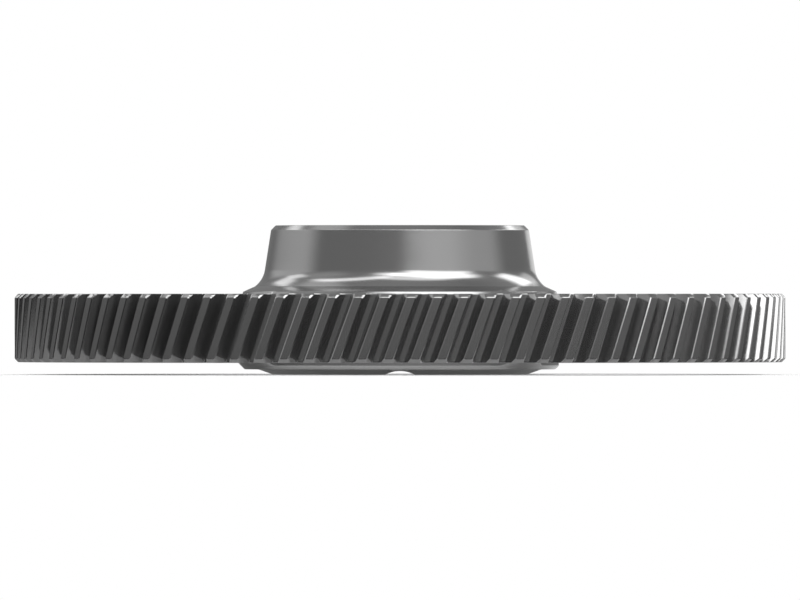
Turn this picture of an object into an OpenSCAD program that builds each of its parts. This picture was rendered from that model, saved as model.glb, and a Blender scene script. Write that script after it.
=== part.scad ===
// Counterweight gear: a right-hand helical gear with a tall hub on one side, a low boss on the
// other, and a web that is left solid on one side only, so that its centre of mass lies off the axis.
// Millimetres. The axis is Z, the boss face lies on Z = 0 and the tall end of the hub points up.

/* [Teeth] */
// Number of teeth
teeth = 92; // [72:1:100]
// Normal module
normal_module = 2.5; // [2.2:0.1:2.8]
// Helix angle at the pitch circle, right-hand, in degrees
helix_angle = 20; // [5:1:28]
// Normal pressure angle, in degrees
pressure_angle = 17.5; // [16:0.5:22]
// Height of the teeth above the pitch circle
addendum = 1.62; // [1.2:0.01:2]
// Depth of the teeth from tip to root
tooth_depth = 5.3; // [4.6:0.1:6]
// Thickness of a tooth at the pitch circle, square to its flank
tooth_thickness = 3.9; // [3.6:0.05:4.2]
// Depth of the fillet at the root of the teeth
root_fillet_depth = 0.3; // [0.2:0.1:1.4]
// Width of the fillet at the root of the teeth
root_fillet_width = 0.1; // [0.05:0.05:0.6]
// Turned chamfer on both ends of the teeth
tip_chamfer = 1.15; // [0.5:0.05:2]

/* [Rim] */
// Width of the toothed rim
face_width = 22; // [20:0.5:30]
// Thickness of the rim under the tooth roots
rim_thickness = 11.5; // [8:0.5:16]

/* [Web] */
// Thickness of the web between hub and rim
web_thickness = 12; // [8:0.5:14]
// Fillet, cut at 45 degrees, where the web meets the rim
rim_fillet = 2.5; // [1:0.5:3]

/* [Hub] */
// Height of the hub above the rim
hub_height = 22; // [14:0.5:30]
// Diameter of the hub's top edge, over the chamfer
hub_top_d = 83; // [78:0.5:86]
// Draft of the hub's side, in degrees
hub_draft = 8.8; // [2:0.2:10]
// Chamfer on the hub's top edge
hub_chamfer = 1.5; // [0.5:0.1:2.5]
// Radius of the fillet at the foot of the hub
hub_fillet = 8.5; // [6:0.5:10]
// Steepest slope that the hub's fillet reaches, measured from the axis, in degrees
fillet_end_angle = 51; // [45:1:56]
// Slope of the shoulder under the fillet, in degrees below level
shoulder_slope = 22; // [16:1:26]
// Diameter of the shoulder's outer edge
shoulder_d = 100.6; // [98:0.2:101.4]
// Height of the shoulder's outer edge above the rim
shoulder_rise = 0.9; // [0.4:0.1:2]

/* [Boss] */
// Height of the boss under the rim
boss_height = 4; // [3:0.5:8]
// Diameter of the boss's face
boss_d = 81.6; // [76:0.2:86]
// Diameter of the foot of the boss's sloping side
boss_foot_d = 91.2; // [88:0.2:96]
// Height of the boss's sloping side
boss_side_height = 1.7; // [1:0.1:2.5]
// Diameter of the flat ring around the boss
flange_d = 100; // [98:0.2:101.4]

/* [Bore] */
// Diameter of the bore
bore_d = 55; // [40:0.5:62]
// Chamfer on both ends of the bore
bore_chamfer = 1.5; // [0.5:0.1:2.5]
// Radius of the oil groove across the boss's face
groove_radius = 10; // [6:0.5:16]
// Depth of the oil groove across the boss's face
groove_depth = 1.25; // [0.6:0.05:2]

/* [Windows in the web] */
// Diameter of the windows' inner wall
window_inner_d = 102.2; // [102:0.2:112]
// Width of the ring of web that is left between windows and rim
window_rim_gap = 7; // [5:0.5:12]
// Radius of the windows' corners
window_corner = 6; // [3:0.5:9]
// Angle that the solid, heavy side of the web spans, in degrees
heavy_angle = 66; // [40:1:110]
// Angle that the window opposite the heavy side spans, in degrees
light_window_angle = 65; // [40:1:80]
// Angle that each spoke beside that window spans, in degrees
spoke_angle = 13; // [9:1:24]

/* [Hidden] */
$fn = 180;
steel_color = [0.36, 0.37, 0.39];
overlap = 4;
wall_bite = 0.5;

// Heights
rim_bottom = boss_height;
rim_top = rim_bottom + face_width;
rim_middle = (rim_bottom + rim_top) / 2;
hub_top = rim_top + hub_height;
web_bottom = rim_middle - web_thickness / 2;
web_top = rim_middle + web_thickness / 2;

// Tooth form in the plane square to the axis
pitch_r = teeth * normal_module / cos(helix_angle) / 2;
tip_r = pitch_r + addendum;
root_r = tip_r - tooth_depth;
flank_foot_r = root_r + root_fillet_depth;
flank_middle_r = (flank_foot_r + tip_r) / 2;
transverse_pressure_angle = atan(tan(pressure_angle) / cos(helix_angle));
base_r = pitch_r * cos(transverse_pressure_angle);
pitch_angle = 360 / teeth;
twist_per_mm = tan(helix_angle) / pitch_r * 180 / PI;
rim_inner_r = root_r - rim_thickness;

// Involute function, in degrees
function involute(angle) = tan(angle) * 180 / PI - angle;

// Half of the angle that a tooth spans at a radius
function half_tooth(r) = tooth_thickness / cos(helix_angle) / 2 / pitch_r * 180 / PI
    + involute(transverse_pressure_angle) - involute(acos(base_r / r));

function polar(r, angle, z) = [r * cos(angle), r * sin(angle), z];

// Heights of the rows of points along the teeth, and the largest radius in each row
tooth_slices = 3;
slice_height = (face_width - 2 * tip_chamfer) / tooth_slices;
slice_rows = [for (i = [0:tooth_slices]) [rim_bottom + tip_chamfer + i * slice_height, tip_r]];
tooth_rows = concat([[rim_bottom, tip_r - tip_chamfer]], slice_rows, [[rim_top, tip_r - tip_chamfer]]);

// The points of one tooth in one row, from its left root to its right root
foot_half = half_tooth(flank_foot_r);
root_half = foot_half + root_fillet_width / root_r * 180 / PI;
function half_profile(limit) = [
    [root_r, root_half],
    [flank_foot_r, foot_half],
    [flank_middle_r, half_tooth(flank_middle_r)],
    [limit, half_tooth(limit)]
];
function tooth_points(middle, row) = let (half = half_profile(row[1]), n = len(half)) concat(
    [for (i = [0:n - 1]) polar(half[i][0], middle - half[i][1], row[0])],
    [for (i = [n - 1:-1:0]) polar(half[i][0], middle + half[i][1], row[0])]
);

// The rim with its teeth. Each row holds all teeth, and the inner wall has two points a tooth.
points_per_tooth = 8;
row_length = teeth * points_per_tooth;
ring_length = teeth * 2;
rows = len(tooth_rows);
ring_start = rows * row_length;

function row_twist(z) = (z - rim_middle) * twist_per_mm;
rim_points = concat(
    [for (row = tooth_rows, t = [0:teeth - 1])
        each tooth_points(-90 + t * pitch_angle + row_twist(row[0]), row)],
    [for (z = [rim_bottom, rim_top], i = [0:ring_length - 1])
        polar(rim_inner_r, -90 + (i - 0.5) * pitch_angle / 2, z)]
);

function outer(row, i) = row * row_length + i % row_length;
function inner(level, i) = ring_start + level * ring_length + i % ring_length;
function flipped(faces) = [for (face = faces) [for (i = [len(face) - 1:-1:0]) face[i]]];

// One end face of the rim, as seen from above
function end_faces(row, level) = [for (t = [0:teeth - 1]) let (p = t * points_per_tooth, q = t * 2) each [
    [for (i = [6:-1:1]) outer(row, p + i)],
    [for (i = [7, 6, 1, 0]) outer(row, p + i)],
    [inner(level, q), inner(level, q + 1), outer(row, p + 7), outer(row, p)],
    [inner(level, q + 1), inner(level, q + 2), outer(row, p + 8), outer(row, p + 7)]
]];

side_faces = [for (row = [0:rows - 2], i = [0:row_length - 1]) each [
    [outer(row, i), outer(row + 1, i), outer(row + 1, i + 1)],
    [outer(row, i), outer(row + 1, i + 1), outer(row, i + 1)]
]];

inner_faces = [for (i = [0:ring_length - 1])
    [inner(0, i), inner(0, i + 1), inner(1, i + 1), inner(1, i)]
];

module toothed_rim() {
    polyhedron(
        points = rim_points,
        faces = concat(side_faces, inner_faces, end_faces(0, 0), flipped(end_faces(rows - 1, 1)))
    );
}

// Outline of the turned hub, boss and web, from the bore outwards
bore_r = bore_d / 2;
boss_r = boss_d / 2;
boss_foot_r = boss_foot_d / 2;
flange_r = flange_d / 2;
hub_top_r = hub_top_d / 2;
shoulder_r = shoulder_d / 2;
shoulder_z = rim_top + shoulder_rise;
web_outer_r = rim_inner_r + overlap;

// The web's fillets end inside the rim's wall
fillet_bottom = web_bottom - rim_fillet - wall_bite;
fillet_top = web_top + rim_fillet + wall_bite;

// The fillet starts on the hub's drafted side and ends on the shoulder's slope
hub_side_z = hub_top - hub_chamfer;
fillet_turn = fillet_end_angle - hub_draft;
function fillet_point(angle) = [
    hub_fillet * (cos(hub_draft) - cos(angle)),
    hub_fillet * (sin(hub_draft) - sin(angle))
];
fillet_span = fillet_point(fillet_end_angle);

// Height where the fillet starts, from where the drafted side and the shoulder's slope have to meet it
fillet_start_z = (
    shoulder_z + (shoulder_r - hub_top_r - fillet_span[0] - hub_side_z * tan(hub_draft)) * tan(shoulder_slope)
    - fillet_span[1]
) / (1 - tan(hub_draft) * tan(shoulder_slope));
fillet_start_r = hub_top_r + (hub_side_z - fillet_start_z) * tan(hub_draft);
fillet_steps = 5;
fillet_outline = [for (i = [fillet_steps:-1:0])
    [fillet_start_r, fillet_start_z] + fillet_point(hub_draft + fillet_turn * i / fillet_steps)
];

module turned_body() {
    rotate_extrude()
        polygon(concat(
            [
                [bore_r, bore_chamfer],
                [bore_r + bore_chamfer, 0],
                [boss_r, 0],
                [boss_foot_r, boss_side_height],
                [flange_r, boss_side_height],
                [flange_r + web_bottom - boss_side_height, web_bottom],
                [rim_inner_r - rim_fillet, web_bottom],
                [rim_inner_r + wall_bite, fillet_bottom],
                [web_outer_r, fillet_bottom],
                [web_outer_r, fillet_top],
                [rim_inner_r + wall_bite, fillet_top],
                [rim_inner_r - rim_fillet, web_top],
                [shoulder_r + shoulder_z - web_top, web_top],
                [shoulder_r, shoulder_z]
            ],
            fillet_outline,
            [
                [hub_top_r, hub_side_z],
                [hub_top_r - hub_chamfer, hub_top],
                [bore_r + bore_chamfer, hub_top],
                [bore_r, hub_top - bore_chamfer]
            ]
        ));
}

// A window through the web, centred on an angle: a ring sector with rounded corners
window_inner_r = window_inner_d / 2;
window_outer_r = rim_inner_r - window_rim_gap;
arc_step = 3;

function arc(centre, r, from, to) = let (n = ceil(abs(to - from) / arc_step / (r < 20 ? 6 : 1)))
    [for (i = [0:n]) centre + r * [cos(from + (to - from) * i / n), sin(from + (to - from) * i / n)]];
function place(r, angle) = [r * cos(angle), r * sin(angle)];

module window(middle, span) {
    half = span / 2;
    inner_r = window_inner_r + window_corner;
    outer_r = window_outer_r - window_corner;
    inner_half = half - asin(window_corner / inner_r);
    outer_half = half - asin(window_corner / outer_r);
    rotate(middle)
        translate([0, 0, -1])
            linear_extrude(hub_top + 2)
                polygon(concat(
                    arc([0, 0], window_inner_r, inner_half, -inner_half),
                    arc(place(inner_r, -inner_half), window_corner, 180 - inner_half, 270 - half),
                    arc(place(outer_r, -outer_half), window_corner, 270 - half, 360 - outer_half),
                    arc([0, 0], window_outer_r, -outer_half, outer_half),
                    arc(place(outer_r, outer_half), window_corner, outer_half, 90 + half),
                    arc(place(inner_r, inner_half), window_corner, 90 + half, 180 + inner_half)
                ));
}

// The side windows fill what the heavy side, the spokes and the light window leave of each half turn
side_window_angle = 180 - heavy_angle / 2 - light_window_angle / 2 - spoke_angle;
side_window_middle = light_window_angle / 2 + spoke_angle + side_window_angle / 2;

module windows() {
    window(0, light_window_angle);
    for (side = [-1, 1])
        window(side * side_window_middle, side_window_angle);
}

module oil_groove() {
    translate([0, 0, groove_depth - groove_radius])
        rotate([90, 0, 0])
            cylinder(r = groove_radius, h = boss_foot_d + 2, center = true);
}

module gear() {
    color(steel_color)
        difference() {
            union() {
                toothed_rim();
                turned_body();
            }
            windows();
            oil_groove();
        }
}

gear();
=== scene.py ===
"""The counterweight gear's looks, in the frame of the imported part. Sizes are in millimetres."""

import math

import bmesh
import bpy
import numpy as np
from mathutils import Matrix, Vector
from mathutils.geometry import delaunay_2d_cdt

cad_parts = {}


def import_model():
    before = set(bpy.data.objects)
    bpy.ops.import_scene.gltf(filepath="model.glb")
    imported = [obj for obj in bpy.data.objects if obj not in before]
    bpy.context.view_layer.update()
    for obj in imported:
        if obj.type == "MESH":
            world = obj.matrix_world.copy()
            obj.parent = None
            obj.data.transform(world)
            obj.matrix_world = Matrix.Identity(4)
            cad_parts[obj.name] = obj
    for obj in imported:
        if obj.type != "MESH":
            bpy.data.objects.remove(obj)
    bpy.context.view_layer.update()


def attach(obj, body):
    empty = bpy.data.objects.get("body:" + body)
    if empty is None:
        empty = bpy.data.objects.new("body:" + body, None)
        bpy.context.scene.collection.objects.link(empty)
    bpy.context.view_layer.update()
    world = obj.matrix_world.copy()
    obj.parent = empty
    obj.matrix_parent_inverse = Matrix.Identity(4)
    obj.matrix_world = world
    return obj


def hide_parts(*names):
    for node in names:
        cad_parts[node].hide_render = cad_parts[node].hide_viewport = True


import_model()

MM = 0.001

# Teeth
TEETH = 92
NORMAL_MODULE = 2.5
HELIX = math.radians(20)
PRESSURE = math.radians(17.5)
ADDENDUM = 1.62
TOOTH_DEPTH = 5.3
TOOTH_THICKNESS = 3.9
ROOT_FILLET_DEPTH = 0.4
ROOT_FILLET_WIDTH = 0.25

# Chamfer at the ends of the teeth, and the bevels on the teeth's edges
TIP_CHAMFER = 1.15
CHAMFER_MIDDLE = 0.62
TIP_EDGE = 0.25
END_TIP_EDGE = 0.6
END_EDGE = 0.16
END_ROOT_EDGE = 0.08

# Part of a tip bevel's width that it takes off the flank's height
BEVEL_HEIGHT = 0.9

# From the chamfer to the tips: distance from the end face, distance below the tips, tip bevel
CHAMFER_TOP = [(0.93, 0.22, END_TIP_EDGE), (1.13, 0.07, 0.45), (1.42, 0, TIP_EDGE)]

# Rim
RIM_BOTTOM = 4
RIM_TOP = 26
RIM_THICKNESS = 11.5
RIM_INNER_EDGE = 0.6
RIM_INNER_ROUNDING = 0.2
RIM_FILLET = 4

# Web, whose faces run from WEB_START on the hub's shoulder to the rim's fillet
WEB_BOTTOM = 9
WEB_TOP = 21
WEB_FILLET = 4
WEB_START = 49
FILLET_MARGIN = 0.5

# Hub, down from its shoulder's foot and crest: the outline's corners as radius, height and rounding
BORE = 27.5
BORE_CHAMFER = 1.5
HUB_TOP = 48
HUB_FOOT = (46.64, 28.38)
SHOULDER_CREST = (50.5, 26.66)
SHOULDER_FOOT = (51.1, 24.6)
HUB_OUTLINE = [
    (*HUB_FOOT, 0.4),
    (43.98, 30.49, 8.5),
    (41.5, HUB_TOP - BORE_CHAMFER, 0.35),
    (40, HUB_TOP, 0.35),
    (BORE + BORE_CHAMFER, HUB_TOP, 0.3),
    (BORE, HUB_TOP - BORE_CHAMFER, 0.3),
]

# Boss, from the bore outwards
BOSS_R = 40.8
BOSS_ROUNDING = 0.8
BOSS_FOOT = (45.6, 1.7)
FLANGE_EDGE = (50, 1.7)
FLANGE_ROUNDING = 0.8
FLANGE_END = (FLANGE_EDGE[0] + WEB_BOTTOM - FLANGE_EDGE[1], WEB_BOTTOM)
BOSS_OUTLINE = [
    (BORE, BORE_CHAMFER, 0),
    (BORE + BORE_CHAMFER, 0, 0),
    (BOSS_R, 0, BOSS_ROUNDING),
    (*BOSS_FOOT, 1.5),
    (*FLANGE_EDGE, FLANGE_ROUNDING),
]
GROOVE_RADIUS = 10
GROOVE_DEPTH = 1.25

# Windows in the web
WINDOW_INNER = 51.1
WINDOW_RIM_GAP = 7
WINDOW_CORNER = 6
WINDOW_TOP_EDGE = 1
WINDOW_BOTTOM_EDGE = 0.3
HEAVY_ANGLE = 66
LIGHT_WINDOW_ANGLE = 65
SPOKE_ANGLE = 13

# The tips stay this far inside the solid's box
BOX_MARGIN = 0.001

# Radii and angles that follow
PITCH_R = TEETH * NORMAL_MODULE / math.cos(HELIX) / 2
TIP_R = PITCH_R + ADDENDUM - BOX_MARGIN
ROOT_R = TIP_R - TOOTH_DEPTH
FLANK_FOOT_R = ROOT_R + ROOT_FILLET_DEPTH
TRANSVERSE = math.atan(math.tan(PRESSURE) / math.cos(HELIX))
BASE_R = PITCH_R * math.cos(TRANSVERSE)
TOOTH_PITCH = 2 * math.pi / TEETH
TWIST = math.tan(HELIX) / PITCH_R
RIM_MIDDLE = (RIM_BOTTOM + RIM_TOP) / 2
RIM_INNER = ROOT_R - RIM_THICKNESS
WEB_EDGE = RIM_INNER - RIM_FILLET - FILLET_MARGIN
WINDOW_OUTER = RIM_INNER - WINDOW_RIM_GAP
SIDE_WINDOW_ANGLE = 180 - HEAVY_ANGLE / 2 - LIGHT_WINDOW_ANGLE / 2 - SPOKE_ANGLE
SIDE_WINDOW_MIDDLE = LIGHT_WINDOW_ANGLE / 2 + SPOKE_ANGLE + SIDE_WINDOW_ANGLE / 2

# How finely the surface is divided: points round a turned ring, steps along curves, spacings
ROUND = TEETH * 4
AROUND = -math.pi / 2 + np.arange(ROUND) * 2 * math.pi / ROUND
SMALL_RADIUS = 1
SMALL_TURN = math.radians(12)
LARGE_TURN = math.radians(6)
FILLET_STEPS = 4
FLANK_STEPS = 5
RIM_ROWS = 3
HUB_STEP = 4
CORNER_STEPS = 9
EDGE_STEPS = 5
GROOVE_POINTS = 17
GROOVE_MARGIN = 0.25
WEB_RINGS = [63.0, 70.0, 80.0, 90.0]
WEB_RING_GAP = 0.2
WINDOW_INNER_SPACING = 0.95
WINDOW_OUTER_SPACING = 2.2
SIDE_NEAR_HUB = 0.16
SIDE_POINTS_NEAR_HUB = 10
SIDE_POINTS_BEYOND = 11

# Points nearer than this are one point, on the surface and in the plan
WELD = 0.002
PLAN_PRECISION = 1e-5

# A length too small to see
HAIR = 1e-4

# How far past an edge the middle of a triangle may lie and still belong to the face
SLACK = 0.01
RING_SLACK = 0.002

# The finishes, in the order of the materials. The forged finish's darker grey is partly the rough
# forged steel's own colour and partly painted shade on the web and the rim's inner wall under the
# rim
GROUND, TURNED, FORGED_AND_SHADED = range(3)

# Where the turned surface of hub and boss ends on the web: a radius, a height at each face,
# and how far a face under the web has to look down
TURNED_R = 60
TURNED_LOW = 8
TURNED_HIGH = 24.3
TURNED_SLOPE = -0.2


class Skin:
    """The patches of one closed surface."""

    def __init__(self):
        self.points = []
        self.faces = []
        self.kinds = []
        self.count = 0

    def add(self, points, faces, kind):
        self.points.append(np.asarray(points, float))
        self.faces += [tuple(self.count + i for i in face) for face in faces]
        self.kinds += [kind] * len(faces)
        self.count += len(points)

    def add_grid(self, rows, kind):
        """Rows of points, each a closed ring, joined to the next row by quads."""
        rows = np.asarray(rows, float)
        n, m = rows.shape[:2]
        faces = [
            (i * m + j, i * m + (j + 1) % m, (i + 1) * m + (j + 1) % m, (i + 1) * m + j)
            for i in range(n - 1)
            for j in range(m)
        ]
        self.add(rows.reshape(-1, 3), faces, kind)

    def mesh(self, name):
        """Welds the patches and turns all faces outwards."""
        data = bpy.data.meshes.new(name)
        data.from_pydata((np.concatenate(self.points) * MM).tolist(), [], self.faces)
        data.polygons.foreach_set("material_index", self.kinds)
        bm = bmesh.new()
        bm.from_mesh(data)
        bmesh.ops.remove_doubles(bm, verts=bm.verts, dist=WELD * MM)
        bmesh.ops.recalc_face_normals(bm, faces=bm.faces)
        bm.to_mesh(data)
        bm.free()
        return data


def unit(v):
    return v / np.linalg.norm(v)


def direction(angle):
    return np.array([math.cos(angle), math.sin(angle)])


def rounded(corners):
    """The points of a section through corners (r, z, radius), each rounded by an arc."""
    line = []
    for i, (r, z, radius) in enumerate(corners):
        corner = np.array([r, z], float)
        if radius == 0 or i in (0, len(corners) - 1):
            line.append(corner)
            continue
        before = unit(np.array(corners[i - 1][:2]) - corner)
        after = unit(np.array(corners[i + 1][:2]) - corner)
        half = math.acos(np.clip(before @ after, -1, 1)) / 2
        centre = corner + unit(before + after) * radius / math.sin(half)
        start = corner + before * radius / math.tan(half) - centre
        end = corner + after * radius / math.tan(half) - centre
        sweep = math.atan2(start[0] * end[1] - start[1] * end[0], start @ end)
        turn = LARGE_TURN if radius > SMALL_RADIUS else SMALL_TURN
        steps = max(2, math.ceil(abs(sweep) / turn))
        for t in np.linspace(0, sweep, steps + 1):
            spin = np.array([[math.cos(t), -math.sin(t)], [math.sin(t), math.cos(t)]])
            line.append(centre + spin @ start)
    return np.array(line)


def ring(r, z):
    return np.stack([r * np.cos(AROUND), r * np.sin(AROUND), np.full(ROUND, float(z))], 1)


def flat_ring(r):
    return ring(r, 0)[:, :2]


def revolved(section):
    return [ring(r, z) for r, z in section]


def triangulated(loops, keep, extras=(), extra_edges=()):
    """Plan points and triangles inside the first loop.

    Loops and extra edges stay edges, and keep(x, y) picks the triangles by their middles.
    """
    points = [p for loop in loops for p in loop]
    edges = []
    start = 0
    for loop in loops:
        n = len(loop)
        edges += [(start + i, start + (i + 1) % n) for i in range(n)]
        start += n
    edges += [(start + a, start + b) for a, b in extra_edges]
    points += list(extras)
    plan = [Vector((float(p[0]), float(p[1]))) for p in points]
    made = delaunay_2d_cdt(plan, edges, [], 1, PLAN_PRECISION)
    flat = np.array([tuple(v) for v in made[0]])
    faces = np.array(made[2])
    middles = flat[faces].mean(1)
    return flat, faces[keep(middles[:, 0], middles[:, 1])]


def raised(flat, height):
    """Plan points with their heights."""
    return np.column_stack([flat, height(flat[:, 0], flat[:, 1])])


# Teeth and rim


def involute(angle):
    return math.tan(angle) - angle


def half_tooth(r):
    """Half of the angle that a tooth spans at a radius."""
    return (
        TOOTH_THICKNESS / math.cos(HELIX) / 2 / PITCH_R
        + involute(TRANSVERSE)
        - involute(math.acos(BASE_R / r))
    )


def bezier(a, b, c, steps):
    t = np.linspace(0, 1, steps + 1)[:, None]
    return (1 - t) ** 2 * a + 2 * t * (1 - t) * b + t**2 * c


def half_profile(limit, inset, edge):
    """One side of a tooth from root to tip, as radius and half angle.

    It is cut off at a radius, set in by an amount, and bevelled along its tip by an edge.
    """
    def side(r):
        return half_tooth(r) - inset / math.cos(TRANSVERSE) / r

    step = 0.1
    foot = np.array([FLANK_FOOT_R, side(FLANK_FOOT_R)])
    slope = (side(FLANK_FOOT_R + step) - side(FLANK_FOOT_R)) / step
    root_r = ROOT_R - inset * END_ROOT_EDGE / END_EDGE
    root = np.array([root_r, half_tooth(FLANK_FOOT_R) + ROOT_FILLET_WIDTH / ROOT_R])
    turn = np.array([root_r, foot[1] + slope * (root_r - FLANK_FOOT_R)])
    fillet = bezier(root, turn, foot, FILLET_STEPS)
    flank_radii = np.linspace(FLANK_FOOT_R, limit - edge * BEVEL_HEIGHT, FLANK_STEPS + 1)[1:]
    flank = np.array([[r, side(r)] for r in flank_radii])
    land = np.array([[limit, side(limit) - edge / limit]])
    return np.concatenate([fillet, flank, land])


def rim_row(z, limit, inset, edge):
    """All teeth at one height."""
    half = half_profile(limit, inset, edge)
    both = np.concatenate([half * [1, -1], half[::-1]])
    middles = -math.pi / 2 + np.arange(TEETH) * TOOTH_PITCH + (z - RIM_MIDDLE) * TWIST
    angles = (middles[:, None] + both[None, :, 1]).ravel()
    radii = np.tile(both[:, 0], TEETH)
    heights = np.full(len(radii), float(z))
    return np.stack([radii * np.cos(angles), radii * np.sin(angles), heights], 1)


def end_rows():
    """The rows at each end of the teeth: distance from the end face, limit, inset and edge."""
    chamfer_start = TIP_R - TIP_CHAMFER
    return [
        (0, chamfer_start, END_EDGE, END_TIP_EDGE),
        (END_EDGE, chamfer_start + END_EDGE, 0, END_TIP_EDGE),
        (CHAMFER_MIDDLE, chamfer_start + CHAMFER_MIDDLE, 0, END_TIP_EDGE),
        *[(distance, TIP_R - below, 0, edge) for distance, below, edge in CHAMFER_TOP],
    ]


def add_rim(skin):
    low = [(RIM_BOTTOM + s, *rest) for s, *rest in end_rows()]
    high = [(RIM_TOP - s, *rest) for s, *rest in reversed(end_rows())]
    heights = np.linspace(low[-1][0], high[0][0], RIM_ROWS + 2)[1:-1]
    middle = [(z, TIP_R, 0, TIP_EDGE) for z in heights]
    rows = [rim_row(*row) for row in low + middle + high]
    skin.add_grid(rows, GROUND)

    # Flat end faces between the teeth and the rim's inner edge
    inner = RIM_INNER + RIM_INNER_EDGE
    for row, z in ((rows[0], RIM_BOTTOM), (rows[-1], RIM_TOP)):
        flat, faces = triangulated(
            [row[:, :2], flat_ring(inner)], lambda x, y: np.hypot(x, y) > inner - SLACK
        )
        skin.add(raised(flat, lambda x, y: np.full(len(x), float(z))), faces.tolist(), TURNED)

    # Inner wall, with a fillet down to the web
    for z, face, web in ((RIM_BOTTOM, 1, WEB_BOTTOM), (RIM_TOP, -1, WEB_TOP)):
        corners = [
            (inner, z, 0),
            (RIM_INNER, z + face * RIM_INNER_EDGE, RIM_INNER_ROUNDING),
            (RIM_INNER, web, RIM_FILLET),
            (WEB_EDGE, web, 0),
        ]
        skin.add_grid(revolved(rounded(corners)), FORGED_AND_SHADED)


# Web

TOP_SECTION = rounded([
    (*HUB_FOOT, 0),
    (*SHOULDER_CREST, 0.3),
    (*SHOULDER_FOOT, 1),
    (sum(SHOULDER_FOOT) - WEB_TOP, WEB_TOP, WEB_FILLET),
    (WEB_EDGE, WEB_TOP, 0),
])
BOTTOM_SECTION = rounded([
    (*BOSS_FOOT, 0),
    (*FLANGE_EDGE, FLANGE_ROUNDING),
    (*FLANGE_END, WEB_FILLET),
    (WEB_EDGE, WEB_BOTTOM, 0),
])


class Window:
    """A ring sector with rounded corners.

    Its outlines grow from a spine of points, each along its outward direction.
    """

    def __init__(self, middle, span):
        self.middle = math.radians(middle)
        self.half = math.radians(span) / 2
        self.inner_r = WINDOW_INNER + WINDOW_CORNER
        self.outer_r = WINDOW_OUTER - WINDOW_CORNER
        self.inner_half = self.half - math.asin(WINDOW_CORNER / self.inner_r)
        self.outer_half = self.half - math.asin(WINDOW_CORNER / self.outer_r)
        spine = []
        outward = []

        def put(centre, away):
            spine.append(centre)
            outward.append(away)

        def arc(r, start, end, spacing, sign):
            steps = math.ceil(abs(end - start) * r / spacing)
            for angle in np.linspace(start, end, steps + 1)[:-1]:
                put(r * direction(angle), sign * direction(angle))

        def corner(r, at, start, end):
            for angle in np.linspace(start, end, CORNER_STEPS + 1)[:-1]:
                put(r * direction(at), direction(angle))

        def side(r0, at0, r1, at1, away, lengths):
            a = r0 * direction(at0)
            b = r1 * direction(at1)
            for t in lengths:
                put(a + (b - a) * t, direction(away))

        reach = np.concatenate([
            np.linspace(0, SIDE_NEAR_HUB, SIDE_POINTS_NEAR_HUB),
            np.linspace(SIDE_NEAR_HUB, 1, SIDE_POINTS_BEYOND + 1)[1:],
        ])
        quarter = math.pi / 2
        arc(self.inner_r, self.inner_half, -self.inner_half, WINDOW_INNER_SPACING, -1)
        corner(self.inner_r, -self.inner_half, math.pi - self.inner_half, 3 * quarter - self.half)
        side(self.inner_r, -self.inner_half, self.outer_r, -self.outer_half,
             -quarter - self.half, reach[:-1])
        corner(self.outer_r, -self.outer_half, -quarter - self.half, -self.outer_half)
        arc(self.outer_r, -self.outer_half, self.outer_half, WINDOW_OUTER_SPACING, 1)
        corner(self.outer_r, self.outer_half, self.outer_half, quarter + self.half)
        side(self.outer_r, self.outer_half, self.inner_r, self.inner_half,
             quarter + self.half, (1 - reach[::-1])[:-1])
        corner(self.inner_r, self.inner_half, quarter + self.half, math.pi + self.inner_half)
        c, s = direction(self.middle)
        turned = np.array([[c, s], [-s, c]])
        self.spine = np.array(spine) @ turned
        self.outward = np.array(outward) @ turned

    def outline(self, grow):
        return self.spine + (WINDOW_CORNER + grow) * self.outward

    def gap(self, x, y):
        """Distance to the window's wall, below zero inside the window."""
        angle = np.abs((np.arctan2(y, x) - self.middle + math.pi) % (2 * math.pi) - math.pi)
        r = np.hypot(x, y)
        a = self.inner_r * direction(self.inner_half)
        run = self.outer_r * direction(self.outer_half) - a
        px, py = r * np.cos(angle) - a[0], r * np.sin(angle) - a[1]
        t = np.clip((px * run[0] + py * run[1]) / (run @ run), 0, 1)
        to_side = np.hypot(px - t * run[0], py - t * run[1])
        to_inner = np.where(angle <= self.inner_half, np.abs(self.inner_r - r), np.inf)
        to_outer = np.where(angle <= self.outer_half, np.abs(r - self.outer_r), np.inf)
        nearest = np.minimum(to_side, np.minimum(to_inner, to_outer))
        within = (r >= self.inner_r) & (r <= self.outer_r)
        within &= r * np.sin(self.half - angle) >= WINDOW_CORNER
        return np.where(within, -nearest, nearest) - WINDOW_CORNER


WINDOWS = [
    Window(0, LIGHT_WINDOW_ANGLE),
    Window(SIDE_WINDOW_MIDDLE, SIDE_WINDOW_ANGLE),
    Window(-SIDE_WINDOW_MIDDLE, SIDE_WINDOW_ANGLE),
]


def window_gap(x, y):
    return np.min([w.gap(x, y) for w in WINDOWS], axis=0)


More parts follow.
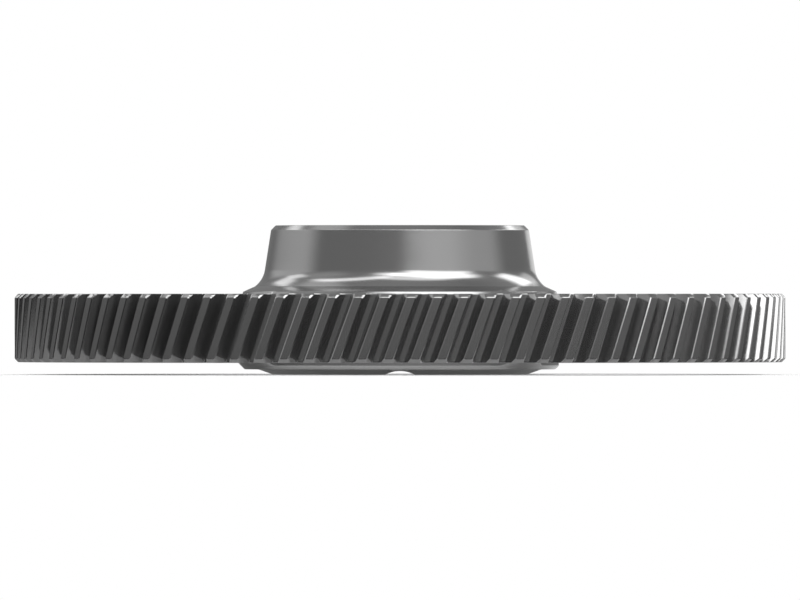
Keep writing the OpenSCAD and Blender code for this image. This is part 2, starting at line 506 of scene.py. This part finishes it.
def add_web(skin):
    """Both faces of the web with the windows' rounded edges, and the windows' walls."""
    steps = np.radians(np.linspace(0, 90, EDGE_STEPS + 1))
    walls = {}
    for section, sign, edge in (
        (TOP_SECTION, -1, WINDOW_TOP_EDGE),
        (BOTTOM_SECTION, 1, WINDOW_BOTTOM_EDGE),
    ):
        def face(x, y):
            return np.interp(np.hypot(x, y), section[:, 0], section[:, 1])

        for k, window in enumerate(WINDOWS):
            rows = []
            for t in steps:
                flat = window.outline(edge * (1 - math.cos(t)))
                drop = edge * (1 - math.sin(t))
                rows.append(raised(flat, lambda x, y: face(x, y) + sign * drop))
            skin.add_grid(rows, FORGED_AND_SHADED)
            walls[k, sign] = rows[0]

        radii = [r for r, z in section if WEB_START < r < WEB_RINGS[0]] + WEB_RINGS
        extras = np.concatenate([flat_ring(r) for r in radii])
        extras = extras[window_gap(extras[:, 0], extras[:, 1]) > edge + WEB_RING_GAP]
        loops = [flat_ring(WEB_EDGE), flat_ring(WEB_START)]
        loops += [w.outline(edge) for w in WINDOWS]

        def keep(x, y):
            return (np.hypot(x, y) > WEB_START - RING_SLACK) & (window_gap(x, y) > edge - SLACK)

        flat, faces = triangulated(loops, keep, extras)
        skin.add(raised(flat, face), faces.tolist(), FORGED_AND_SHADED)

    for k in range(len(WINDOWS)):
        skin.add_grid([walls[k, -1], (walls[k, -1] + walls[k, 1]) / 2, walls[k, 1]], FORGED_AND_SHADED)


# Hub and boss


def section_between(line, low, high):
    """The part of a section between two radii, with its ends cut exactly there."""
    inside = [p for p in line if low < p[0] < high]
    ends = [(r, np.interp(r, *zip(*sorted(map(tuple, line))))) for r in (low, high)]
    return np.array(sorted([tuple(p) for p in inside] + ends))


def add_hub(skin):
    """Everything turned from the web's start over the hub and down the bore."""
    start = (WEB_START, float(np.interp(WEB_START, TOP_SECTION[:, 0], TOP_SECTION[:, 1])), 0)
    line = rounded([start] + HUB_OUTLINE + [BOSS_OUTLINE[0]])
    fine = [line[0]]
    for p in line[1:]:
        steps = max(1, math.ceil(np.linalg.norm(p - fine[-1]) / HUB_STEP))
        fine += [fine[-1] + (p - fine[-1]) * i / steps for i in range(1, steps + 1)]
    skin.add_grid(revolved(fine), TURNED)


def add_boss(skin):
    """The face under the hub, with the oil groove across it."""
    section = section_between(rounded(BOSS_OUTLINE + [(*FLANGE_END, 0)]), BORE, WEB_START)

    def groove(x):
        return GROOVE_DEPTH - GROOVE_RADIUS + np.sqrt(np.maximum(GROOVE_RADIUS**2 - x**2, 0))

    def height(x, y):
        base = np.interp(np.hypot(x, y), section[:, 0], section[:, 1])
        return np.maximum(base, np.where(np.abs(x) < GROOVE_RADIUS, groove(x), -1))

    # The groove's lines across the face, each ending where it meets the chamfer and the slope
    widest = math.acos(1 - GROOVE_DEPTH / GROOVE_RADIUS)
    xs = GROOVE_RADIUS * np.sin(np.linspace(-widest, widest, GROOVE_POINTS))
    chamfer = section[section[:, 0] <= BORE + BORE_CHAMFER + HAIR]
    slope = section[section[:, 0] > BOSS_R - BOSS_ROUNDING]
    extras = []
    edges = []
    for side in (-1, 1):
        first = len(extras)
        for x in xs:
            z = max(float(groove(x)), 0)
            inner = np.interp(-z, -chamfer[:, 1], chamfer[:, 0])
            outer = np.interp(max(z, HAIR), slope[:, 1], slope[:, 0])
            for r in (inner, outer):
                extras.append((x, side * math.sqrt(r * r - x * x)))
        last = len(extras)
        edges += [(i, i + 1) for i in range(first, last, 2)]
        edges += [(i, i + 2) for i in range(first, last - 2)]

    rings = np.concatenate([flat_ring(r) for r, z in section[1:-1]])
    in_groove = np.abs(rings[:, 0]) < xs[-1] + GROOVE_MARGIN
    extras += [tuple(p) for p in rings[~in_groove]]
    loops = [flat_ring(WEB_START), flat_ring(BORE)]
    flat, faces = triangulated(
        loops, lambda x, y: np.hypot(x, y) > BORE - RING_SLACK, extras, edges
    )
    skin.add(raised(flat, height), faces.tolist(), TURNED)


# Materials

METALLIC = 0.87
RELIEF = 0.02

# Name, grey, roughness from and to, strength and scale of the marks
FINISHES = [
    ("ground_steel", 0.34, (0.15, 0.19), 0.01, (300, 8, 500)),
    ("turned_steel", 0.34, (0.16, 0.2), 0.02, (1600, 5, 1600)),
    # Forged steel is rougher, and its darker grey is partly its own colour and partly painted shade
    # for the recess under the rim and around the web
    ("forged_steel_and_painted_shade", 0.2, (0.4, 0.55), 0.5, (500, 40, 500)),
]

# Edges that turn by more than this stay sharp
SHARP_TURN = math.radians(27)


def node(tree, kind, *sources, **settings):
    """A new node. Its first inputs are linked to the sources, or set to them if they are values."""
    made = tree.nodes.new(kind)
    for name, value in settings.items():
        setattr(made, name, value)
    for socket, source in zip(made.inputs, sources):
        if isinstance(source, bpy.types.NodeSocket):
            tree.links.new(source, socket)
        else:
            socket.default_value = source
    return made


def math_node(tree, operation, *sources):
    return node(tree, "ShaderNodeMath", *sources, operation=operation).outputs[0]


def steel(name, grey, roughness, bump, scale):
    """Dark steel with the fine marks of its machining.

    The marks are noise over radius, angle and height, each stretched by its scale.
    """
    material = bpy.data.materials.new(name)
    material.use_nodes = True
    tree = material.node_tree
    place = node(tree, "ShaderNodeTexCoord")
    x, y, z = node(tree, "ShaderNodeSeparateXYZ", place.outputs["Object"]).outputs
    flat = node(tree, "ShaderNodeCombineXYZ", x, y)
    radius = node(tree, "ShaderNodeVectorMath", flat.outputs[0], operation="LENGTH")
    angle = math_node(tree, "ARCTAN2", y, x)
    cylinder = node(tree, "ShaderNodeCombineXYZ", *[
        math_node(tree, "MULTIPLY", source, factor)
        for source, factor in zip((radius.outputs["Value"], angle, z), scale)
    ])
    marks = node(tree, "ShaderNodeTexNoise")
    marks.inputs["Scale"].default_value = 1
    marks.inputs["Detail"].default_value = 1
    tree.links.new(cylinder.outputs[0], marks.inputs["Vector"])
    level = marks.outputs["Fac"]
    spread = node(tree, "ShaderNodeMapRange", level, 0, 1, *roughness)
    relief = node(tree, "ShaderNodeBump")
    relief.inputs["Strength"].default_value = bump
    relief.inputs["Distance"].default_value = RELIEF * MM
    tree.links.new(level, relief.inputs["Height"])
    shader = tree.nodes["Principled BSDF"]
    shader.inputs["Metallic"].default_value = METALLIC
    shader.inputs["Base Color"].default_value = (grey, grey, grey, 1)
    tree.links.new(spread.outputs["Result"], shader.inputs["Roughness"])
    tree.links.new(relief.outputs["Normal"], shader.inputs["Normal"])
    return material


def turn_edges(data):
    """The shoulder over the web and the boss's edge under it are turned like the hub."""
    for face in data.polygons:
        x, y, z = face.center / MM
        under = z < TURNED_LOW and face.normal.z < TURNED_SLOPE
        if math.hypot(x, y) < TURNED_R and (under or z > TURNED_HIGH):
            face.material_index = TURNED


def build_gear():
    skin = Skin()
    add_rim(skin)
    add_web(skin)
    add_hub(skin)
    add_boss(skin)
    data = skin.mesh("gear_skin")
    turn_edges(data)
    data.shade_smooth()
    data.set_sharp_from_angle(angle=SHARP_TURN)
    for finish in FINISHES:
        data.materials.append(steel(*finish))
    piece = bpy.data.objects.new("gear_skin", data)
    bpy.context.scene.collection.objects.link(piece)
    weighted = piece.modifiers.new("weighted_normals", "WEIGHTED_NORMAL")
    weighted.keep_sharp = True
    weighted.weight = 50
    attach(piece, "root")
    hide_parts("gear")


# Stage, light and camera

# The camera is level with the gear's middle, and the tips end at TIP_IN_IMAGE pixels from the
# middle of the picture
VIEW_DISTANCE = 8.5
CAMERA_HEIGHT = 24 * MM
IMAGE_WIDTH = 800
TIP_IN_IMAGE = 385.4
SENSOR_WIDTH = 36
CLIP = (0.1, 100)

# The floor fades out between two radii
FLOOR_RADIUS = 200 * MM
FLOOR_FADE = (112 * MM, 144 * MM)
FLOOR_GREY = 0.85
FLOOR_GLOW = 0.13
FLOOR_POINTS = 128

# The world is white where it is seen, and this strong as light
WORLD_LIGHT = 0.4

WALL_DISTANCE = 3

# Grey of the studio's walls at heights in degrees above the floor
WALL_GREYS = [
    (-8, 0.02), (2, 0.23), (10, 0.25), (20, 0.27), (32, 0.3), (45, 0.34), (60, 0.24), (85, 0.38)
]

# Azimuths and elevations where the walls are open, so that the steel shows the white background
OPENING = ((148, 178), (-9, 7))

LAMP_DISTANCE = 2

# Name, azimuth, elevation, width and height in degrees, radiance, soft part of the lamp
LAMPS = [
    ("front_right", 35, 32, 66, 21, 3.4, 0.5),
    ("front_top", 34, 47, 78, 18, 3.2, 0.4),
    ("front_high", -10, 38, 28, 14, 1.9, 0.5),
    ("front_low", 36, 15, 68, 18, 0.7, 0.8),
    ("high_front", 18, 60, 60, 18, 1.8, 0.6),
    ("right", 126, 30, 56, 14, 3.2, 0.4),
    ("right_middle", 78, 15, 54, 16, 0.5, 0.8),
    ("back_right", 146, 19, 40, 14, 0.8, 0.5),
    ("left", -112, 16, 76, 22, 0.6, 0.6),
    ("left_middle", -108, 30, 27, 12, 1.9, 0.5),
    ("left_wall", -74, 33, 60, 28, 0.28, 0.8),
    ("left_top", -122, 57, 60, 26, 0.6, 0.6),
    ("high_left", -55, 57, 70, 14, 2.3, 0.5),
    ("back_left", -134, 34, 34, 15, 1.8, 0.5),
]


def towards(azimuth, elevation):
    """A direction, from its angle to the right of the camera's side and its height, in degrees."""
    a, e = math.radians(azimuth), math.radians(elevation)
    return Vector((math.sin(a) * math.cos(e), -math.cos(a) * math.cos(e), math.sin(e)))


def camera():
    data = bpy.data.cameras.new("camera")
    made = bpy.data.objects.new("camera", data)
    bpy.context.scene.collection.objects.link(made)
    made.location = (0, -VIEW_DISTANCE, CAMERA_HEIGHT)
    made.rotation_euler = (math.pi / 2, 0, 0)
    edge = TIP_R * MM
    pixels = TIP_IN_IMAGE * math.sqrt(VIEW_DISTANCE**2 - edge**2) / edge
    data.sensor_width = SENSOR_WIDTH
    data.lens = pixels * SENSOR_WIDTH / IMAGE_WIDTH
    data.clip_start, data.clip_end = CLIP
    bpy.context.scene.camera = made


def softbox(name, azimuth, elevation, width, height, radiance, soft):
    """A rectangular lamp of a width and a height in degrees, dimmer towards its edges."""
    data = bpy.data.lights.new(name, "AREA")
    data.shape = "RECTANGLE"
    data.size = 2 * LAMP_DISTANCE * math.tan(math.radians(width) / 2)
    data.size_y = 2 * LAMP_DISTANCE * math.tan(math.radians(height) / 2)
    data.energy = radiance * math.pi * data.size * data.size_y
    data.use_nodes = True
    tree = data.node_tree
    place = node(tree, "ShaderNodeNewGeometry")
    across = node(tree, "ShaderNodeSeparateXYZ", place.outputs["Parametric"]).outputs
    middle = 0.5
    levels = []
    for k in (0, 1):
        off = math_node(tree, "ABSOLUTE", math_node(tree, "SUBTRACT", across[k], middle))
        edge = node(
            tree, "ShaderNodeMapRange", off, middle, middle - soft / 2,
            interpolation_type="SMOOTHSTEP",
        )
        levels.append(edge.outputs["Result"])
    strength = math_node(tree, "MULTIPLY", *levels)
    tree.links.new(strength, tree.nodes["Emission"].inputs["Strength"])
    made = bpy.data.objects.new(name, data)
    bpy.context.scene.collection.objects.link(made)
    at = towards(azimuth, elevation)
    made.location = at * LAMP_DISTANCE
    made.rotation_euler = at.to_track_quat("Z", "Y").to_euler()
    made.visible_camera = False


def seen(tree):
    """1 for camera, glossy and transmission rays, which see the white background."""
    path = node(tree, "ShaderNodeLightPath").outputs
    both = math_node(tree, "MAXIMUM", path["Is Camera Ray"], path["Is Glossy Ray"])
    return math_node(tree, "MAXIMUM", both, path["Is Transmission Ray"])


def world():
    made = bpy.data.worlds.new("studio")
    bpy.context.scene.world = made
    made.use_nodes = True
    tree = made.node_tree
    back = tree.nodes["Background"]
    back.inputs["Color"].default_value = (1, 1, 1, 1)
    level = node(tree, "ShaderNodeMapRange", seen(tree), 0, 1, WORLD_LIGHT, 1)
    tree.links.new(level.outputs["Result"], back.inputs["Strength"])


def floor():
    """A pale floor under the gear, which fades into the white background around it."""
    bpy.ops.mesh.primitive_circle_add(
        vertices=FLOOR_POINTS, radius=FLOOR_RADIUS, fill_type="NGON"
    )
    made = bpy.context.object
    made.name = "floor"
    material = bpy.data.materials.new("white_floor")
    material.use_nodes = True
    tree = material.node_tree
    tree.nodes.clear()
    matt = node(tree, "ShaderNodeBsdfDiffuse", (FLOOR_GREY, FLOOR_GREY, FLOOR_GREY, 1))
    glow = node(tree, "ShaderNodeEmission")
    lift = math_node(tree, "MULTIPLY", seen(tree), FLOOR_GLOW)
    tree.links.new(lift, glow.inputs["Strength"])
    pale = node(tree, "ShaderNodeAddShader", matt.outputs[0], glow.outputs[0])
    place = node(tree, "ShaderNodeTexCoord")
    radius = node(tree, "ShaderNodeVectorMath", place.outputs["Object"], operation="LENGTH")
    fade = node(
        tree, "ShaderNodeMapRange", radius.outputs["Value"], *FLOOR_FADE,
        interpolation_type="SMOOTHSTEP",
    )
    clear = node(tree, "ShaderNodeBsdfTransparent")
    mixed = node(
        tree, "ShaderNodeMixShader", fade.outputs["Result"], pale.outputs[0], clear.outputs[0]
    )
    node(tree, "ShaderNodeOutputMaterial", mixed.outputs[0])
    made.data.materials.append(material)


def surround():
    """Grey studio walls all round, which the camera looks through and the steel reflects."""
    bpy.ops.mesh.primitive_uv_sphere_add(segments=72, ring_count=60, radius=WALL_DISTANCE)
    made = bpy.context.object
    made.name = "surround"
    made.visible_camera = False
    made.visible_shadow = False
    bm = bmesh.new()
    bm.from_mesh(made.data)
    opening = []
    for face in bm.faces:
        at = face.calc_center_median()
        azimuth = math.degrees(math.atan2(at.x, -at.y))
        elevation = math.degrees(math.asin(at.z / at.length))
        if OPENING[0][0] < azimuth < OPENING[0][1] and OPENING[1][0] < elevation < OPENING[1][1]:
            opening.append(face)
    bmesh.ops.delete(bm, geom=opening, context="FACES")
    bm.to_mesh(made.data)
    bm.free()
    material = bpy.data.materials.new("grey_wall")
    material.use_nodes = True
    tree = material.node_tree
    tree.nodes.clear()
    place = node(tree, "ShaderNodeTexCoord")
    apart = node(tree, "ShaderNodeSeparateXYZ", place.outputs["Generated"])
    ramp = node(tree, "ShaderNodeValToRGB", apart.outputs["Z"])
    stops = ramp.color_ramp.elements
    stops.remove(stops[1])
    for k, (elevation, grey) in enumerate(WALL_GREYS):
        at = (1 + math.sin(math.radians(elevation))) / 2
        stop = stops[0] if k == 0 else stops.new(at)
        stop.position = at
        stop.color = (grey, grey, grey, 1)
    glow = node(tree, "ShaderNodeEmission", ramp.outputs["Color"])
    node(tree, "ShaderNodeOutputMaterial", glow.outputs[0])
    made.data.materials.append(material)


build_gear()
floor()
surround()
world()
camera()
for lamp in LAMPS:
    softbox(*lamp)

bpy.context.scene.view_settings.view_transform = "Standard"
